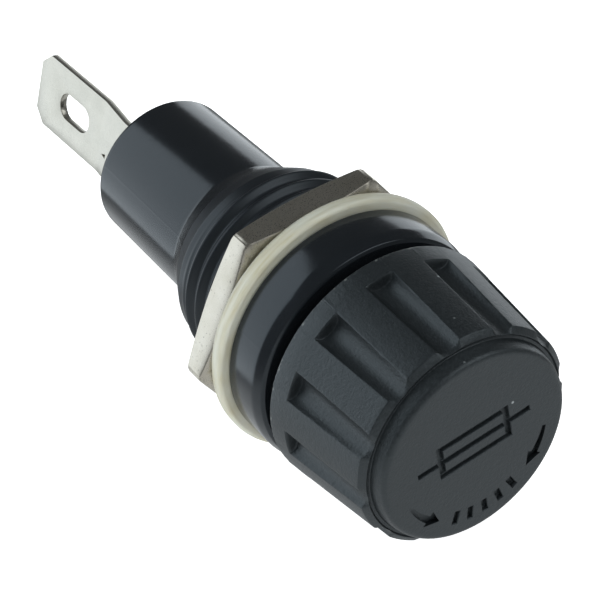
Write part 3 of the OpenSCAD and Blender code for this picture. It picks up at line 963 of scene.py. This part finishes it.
def make_rear_blade():
    """Rear blade: leg under the contact cup, bend, passage through the wall, jog and slotted tab."""
    inner_half, half = 1.9, BLADE_W / 2
    track = Track([
        (inner_half, REAR_WALL + BLADE_T / 2, 0),
        (BLADE_OFFSET, REAR_WALL + BLADE_T / 2, 0.4),
        (BLADE_OFFSET, BODY_REAR - 1.6, 2.5),
        (-1.6, BODY_REAR - 4.3, 2.5),
        (-1.82, -BLADE_TIP, 0),
    ])
    total = track.lengths[-1]
    shoulder = total - (BLADE_TIP + REAR_WALL)
    outer = [Vector(p) for p in (
        (-inner_half, 0), (inner_half, 0), (inner_half, shoulder), (half, shoulder + 0.05),
        (half, total - CHAMFER[1]), (half - CHAMFER[0], total), (-half + CHAMFER[0], total),
        (-half, total - CHAMFER[1]), (-half, shoulder + 0.05), (-inner_half, shoulder))]
    middle = total - SLOT_FROM_TIP - SLOT_L / 2
    notch = [Vector((0.98 + x, total - 7.97 + y)) for x, y in ((-0.17, -0.28), (0.10, -0.28), (0.03, 0.18))]

    def bend(across, along, through):
        spot, normal = track.at(along)
        spot = spot + normal * through
        return blade_frame(spot.x, -across, spot.y)
    bm = plate(outer, [slot_outline(middle), notch], bend, track.lengths[1:-1])
    return finish_piece(new_object("rear_blade", bm), "rear_terminal", "holder", tin, 25)


def make_side_blade():
    """Side blade, flat on the body's pad, with a rivet hole and the same slotted end."""
    put = side_frame(SIDE_BEARING)
    half = BLADE_W / 2
    total = SIDE_FRONT - SIDE_TIP
    corner = 0.3
    outer = [Vector(p) for p in (
        (-half + corner, 0), (half - corner, 0), (half, corner), (half, total - CHAMFER[1]),
        (half - CHAMFER[0], total), (-half + CHAMFER[0], total), (-half, total - CHAMFER[1]),
        (-half, corner))]
    holes = [slot_outline(total - SLOT_FROM_TIP - SLOT_L / 2),
             hole_outline(RIVET_R, SIDE_FRONT - RIVET_STATION)]

    def bend(across, along, through):
        return put(across, PAD_HEIGHT + BLADE_T / 2 + through, SIDE_FRONT - along)
    return finish_piece(new_object("side_blade", plate(outer, holes, bend, ())),
                        "side_terminal", "holder", tin, 25)


def make_terminal_rivet():
    """Rivet through the strip, the wall and the side blade, with a domed head."""
    put = side_frame(SIDE_BEARING)
    tail, foot = 3.12, PAD_HEIGHT + BLADE_T
    shank = RIVET_R - 0.01
    sides = 48
    profile = outline([(0, tail, 0), (shank, tail, 0.05), (shank, foot, 0), (1.3, foot, 0.05),
                       (1.25, foot + 0.28, 0.2), (0.6, foot + 0.48, 0.3), (0, foot + 0.49, 0)])
    bm = bmesh.new()
    rings = []
    for k in range(sides):
        x, z = math.cos(math.tau * k / sides), math.sin(math.tau * k / sides)
        rings.append([bm.verts.new(put(r * x, height, RIVET_STATION + r * z)) for r, height in profile])
    strips(bm, rings, closed=False)
    return finish_piece(new_object("side_rivet", weld(bm)),
                        "terminal_rivet", "holder", rivet_steel)


make_rear_blade()
make_side_blade()
make_terminal_rivet()


# ---- Inner pieces ----
def turned(name, node, body, material, corners, closed=False, columns=72):
    """A turned or drawn piece, made from its (radius, station, fillet) corners."""
    bm = lathe(outline(corners, closed, 3), evenly(columns), closed=closed)
    return finish_piece(new_object(name, bm), node, body, material)


def cup_corners(radius, wall, base, closed_end, open_end):
    """Outline of a cup between its closed and open ends."""
    sign = 1 if open_end > closed_end else -1
    return [(0, closed_end, 0), (radius, closed_end, 0.15), (radius, open_end, 0.05),
            (radius - wall, open_end, 0.05), (radius - wall, closed_end + sign * base, 0.05),
            (0, closed_end + sign * base, 0)]


FERRULE_BORE_R = 2.62
FERRULE_BASE = 0.4
FERRULE_HOLE_R = 0.8
HEAD_R, HEAD_HEIGHT = 1.3, 0.45
FOOT_R, FOOT_HEIGHT = 1.6, 0.4
STEM_R, BUTTON_HEIGHT = 1.0, 0.8
FUSE_CAP_LENGTH = 5.5
FUSE_CAP_WALL, FUSE_CAP_BASE = 0.18, 0.4
GLASS_R, GLASS_BORE_R = 2.4, 1.95
WIRE_R, WIRE_END = 0.1, 1.2


def make_spring():
    """Coil spring with closed end turns."""
    wire, turns, steps, sides = 0.2, 4.5, 40, 10
    middle = SPRING_R - wire
    total = int(turns * steps)
    low, high = SPRING_REAR + wire, SPRING_FRONT - wire
    bm = bmesh.new()
    rings = []
    for k in range(total + 1):
        part = k / total
        lift = smoothstep(0, 1, part) * 0.5 + part * 0.5
        ring = []
        for side in range(sides):
            around = math.tau * side / sides
            ring.append(bm.verts.new(place(middle + wire * math.cos(around), 360 * k / steps,
                                           low + (high - low) * lift + wire * math.sin(around))))
        rings.append(ring)
    walls(bm, rings)
    spring = finish_piece(new_object("spring", close_ends(bm, rings)),
                          "rear_spring", "holder", spring_wire, 60)
    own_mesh(spring)


make_spring()
turned("contact_cup", "rear_contact_cup", "holder", contact_metal,
       cup_corners(CUP_R, 0.2, 0.3, CUP_REAR, CUP_FRONT))
turned("plunger", "rear_plunger", "plunger", contact_metal, [
    (0, PLUNGER_REAR, 0), (STEM_R, PLUNGER_REAR, 0.3), (STEM_R, PLUNGER_FACE - BUTTON_HEIGHT, 0),
    (PLUNGER_R, PLUNGER_FACE - BUTTON_HEIGHT, 0.1), (PLUNGER_R, PLUNGER_FACE, 0.2), (0, PLUNGER_FACE, 0)])
turned("ferrule", "cap_contact", "cap", contact_metal, [
    (FERRULE_R, FERRULE_FRONT, 0.15), (FERRULE_R, FERRULE_REAR, 0.1), (FERRULE_BORE_R, FERRULE_REAR, 0.1),
    (FERRULE_BORE_R, FERRULE_FRONT - FERRULE_BASE, 0.05), (FERRULE_HOLE_R, FERRULE_FRONT - FERRULE_BASE, 0),
    (FERRULE_HOLE_R, FERRULE_FRONT, 0)], closed=True)
turned("ferrule_rivet", "cap_rivet", "cap", rivet_steel, [
    (0, FUSE_FRONT, 0), (FOOT_R, FUSE_FRONT, 0.15), (FOOT_R, FUSE_FRONT + FOOT_HEIGHT, 0),
    (FERRULE_HOLE_R, FUSE_FRONT + FOOT_HEIGHT, 0), (FERRULE_HOLE_R, CARRIER_FRONT, 0),
    (HEAD_R, CARRIER_FRONT, 0.05), (HEAD_R, CARRIER_FRONT + HEAD_HEIGHT, 0.2),
    (0, CARRIER_FRONT + HEAD_HEIGHT, 0)])
turned("fuse_end_front", "fuse_cap_front", "cap", nickel,
       cup_corners(FUSE_CAP_R, FUSE_CAP_WALL, FUSE_CAP_BASE, FUSE_FRONT, FUSE_FRONT - FUSE_CAP_LENGTH))
turned("fuse_end_rear", "fuse_cap_rear", "cap", nickel,
       cup_corners(FUSE_CAP_R, FUSE_CAP_WALL, FUSE_CAP_BASE, PLUNGER_FACE, PLUNGER_FACE + FUSE_CAP_LENGTH))
turned("fuse_tube", "fuse_glass", "cap", glass, [
    (GLASS_R, FUSE_FRONT - FUSE_CAP_BASE, 0.1), (GLASS_R, PLUNGER_FACE + FUSE_CAP_BASE, 0.1),
    (GLASS_BORE_R, PLUNGER_FACE + FUSE_CAP_BASE, 0.1), (GLASS_BORE_R, FUSE_FRONT - FUSE_CAP_BASE, 0.1)],
       closed=True)
turned("fuse_wire", "fuse_element", "cap", solder_grey, [
    (0, PLUNGER_FACE + WIRE_END, 0), (WIRE_R, PLUNGER_FACE + WIRE_END, 0),
    (WIRE_R, FUSE_FRONT - WIRE_END, 0), (0, FUSE_FRONT - WIRE_END, 0)], columns=16)
for label, node, end, sign in (("bead_front", "fuse_solder_front", FUSE_FRONT - FUSE_CAP_BASE, -1),
                               ("bead_rear", "fuse_solder_rear", PLUNGER_FACE + FUSE_CAP_BASE, 1)):
    turned(label, node, "cap", solder_grey, [
        (0, end, 0), (0.9, end, 0.05), (0.72, end + sign * 0.5, 0.25), (0.12, end + sign * 0.8, 0),
        (0, end + sign * 0.8, 0)], columns=32)


def dress(node, material):
    """Gives a CAD node that is shown as it is its material."""
    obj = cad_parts[node]
    obj.data.materials.clear()
    obj.data.materials.append(material)


dress("fuse_carrier", black)
dress("contact_collar", contact_metal)

# ---- Floor, light and camera ----
FLOOR_SIZE = 3.0
FLOOR_GAP = 0.0002
FLOOR_GLOW = 0.85


def make_floor():
    """Pale floor just under the object. It glows a little, so that the shadow stays faint."""
    shader = Shader("floor_white", Roughness=0.9, Emission_Strength=FLOOR_GLOW)
    shader.bsdf.inputs["Emission Color"].default_value = (1, 1, 1, 1)
    shader.drive("Base Color", shader.mix(shader.noise(0.01, 1), (0.94,) * 3, (0.95,) * 3))
    bm = bmesh.new()
    half, level = FLOOR_SIZE / 2, cad_box[0].z - FLOOR_GAP
    corners = ((-half, -half), (half, -half), (half, half), (-half, half))
    bm.faces.new([bm.verts.new((x, y, level)) for x, y in corners])
    floor = new_object("floor", bm)
    floor.data.materials.append(shader.material)
    floor.visible_glossy = False


def area_light(name, azimuth, elevation, distance, size, power, tint, glossy=False, diffuse=False):
    """Soft light that looks at the origin. Azimuth 0 stands at -Y, in front of the cap, and 90 at +X."""
    a, e = math.radians(azimuth), math.radians(elevation)
    away = Vector((math.sin(a) * math.cos(e), -math.cos(a) * math.cos(e), math.sin(e)))
    data = bpy.data.lights.new(name, "AREA")
    data.shape = "RECTANGLE"
    data.size, data.size_y = size
    data.energy = power
    data.color = tint
    light = bpy.data.objects.new(name, data)
    light.location = away * distance
    light.rotation_euler = away.to_track_quat("Z", "Y").to_euler()
    light.visible_glossy = glossy
    light.visible_diffuse = diffuse
    bpy.context.scene.collection.objects.link(light)


WORLD_UP = (0, 0.35, 1)
WORLD_TINT = (0.94, 0.98, 1.0)
WORLD_STOPS = ((-1.0, 0.62), (-0.42, 0.70), (-0.3, 0.3), (-0.05, 0.12), (0.4, 0.10), (1.0, 0.10))


def make_world():
    """Plain room for reflections: pale below and in front, where the table is, and dark elsewhere."""
    world = bpy.data.worlds.new("studio")
    world.use_nodes = True
    tree = world.node_tree
    direction = tree.nodes.new("ShaderNodeTexCoord")
    lean = tree.nodes.new("ShaderNodeVectorMath")
    lean.operation = "DOT_PRODUCT"
    lean.inputs[1].default_value = WORLD_UP
    height = tree.nodes.new("ShaderNodeMapRange")
    height.inputs["From Min"].default_value = -1.0
    ramp = tree.nodes.new("ShaderNodeValToRGB")
    tree.links.new(direction.outputs["Generated"], lean.inputs[0])
    tree.links.new(lean.outputs["Value"], height.inputs["Value"])
    tree.links.new(height.outputs["Result"], ramp.inputs["Fac"])
    tree.links.new(ramp.outputs["Color"], tree.nodes["Background"].inputs["Color"])
    elements = ramp.color_ramp.elements
    while len(elements) < len(WORLD_STOPS):
        elements.new(0.5)
    for element, (up, level) in zip(elements, WORLD_STOPS):
        element.position = (up + 1) / 2
        element.color = (*(channel * level for channel in WORLD_TINT), 1)
    bpy.context.scene.world = world


CAMERA_AZIMUTH = -33.94
CAMERA_ELEVATION = 37.585
CAMERA_PLACE = Vector((-60.18, -85.33, 82.18)) * MM
CAMERA_LENS = 144.0


def make_camera():
    """Long lens in front of the cap, above and to its left."""
    data = bpy.data.cameras.new("camera")
    data.sensor_width = 36.0
    data.lens = CAMERA_LENS
    data.clip_start, data.clip_end = 0.005, 10.0
    camera = bpy.data.objects.new("camera", data)
    camera.location = CAMERA_PLACE
    camera.rotation_euler = (math.radians(90 - CAMERA_ELEVATION), 0, math.radians(CAMERA_AZIMUTH))
    bpy.context.scene.collection.objects.link(camera)
    bpy.context.scene.camera = camera


make_floor()
make_world()
area_light("left_back_softbox", azimuth=-142, elevation=8, distance=0.6, size=(0.62, 1.0), power=2.6,
           tint=(0.86, 0.94, 1.0), glossy=True)
area_light("right_back_softbox", azimuth=125, elevation=-3, distance=0.6, size=(0.5, 0.34), power=0.72,
           tint=(0.9, 0.96, 1.0), glossy=True)
area_light("front_softbox", azimuth=36, elevation=48, distance=0.7, size=(0.6, 0.4), power=1.1,
           tint=(0.94, 0.98, 1.0), glossy=True)
area_light("top_fill", azimuth=15, elevation=64, distance=0.8, size=(1.4, 1.4), power=7.5,
           tint=(0.94, 0.98, 1.0), diffuse=True)
area_light("left_key", azimuth=-85, elevation=32, distance=0.7, size=(0.4, 0.4), power=3.0,
           tint=(0.92, 0.97, 1.0), diffuse=True)
make_camera()
bpy.context.scene.view_settings.view_transform = "Standard"
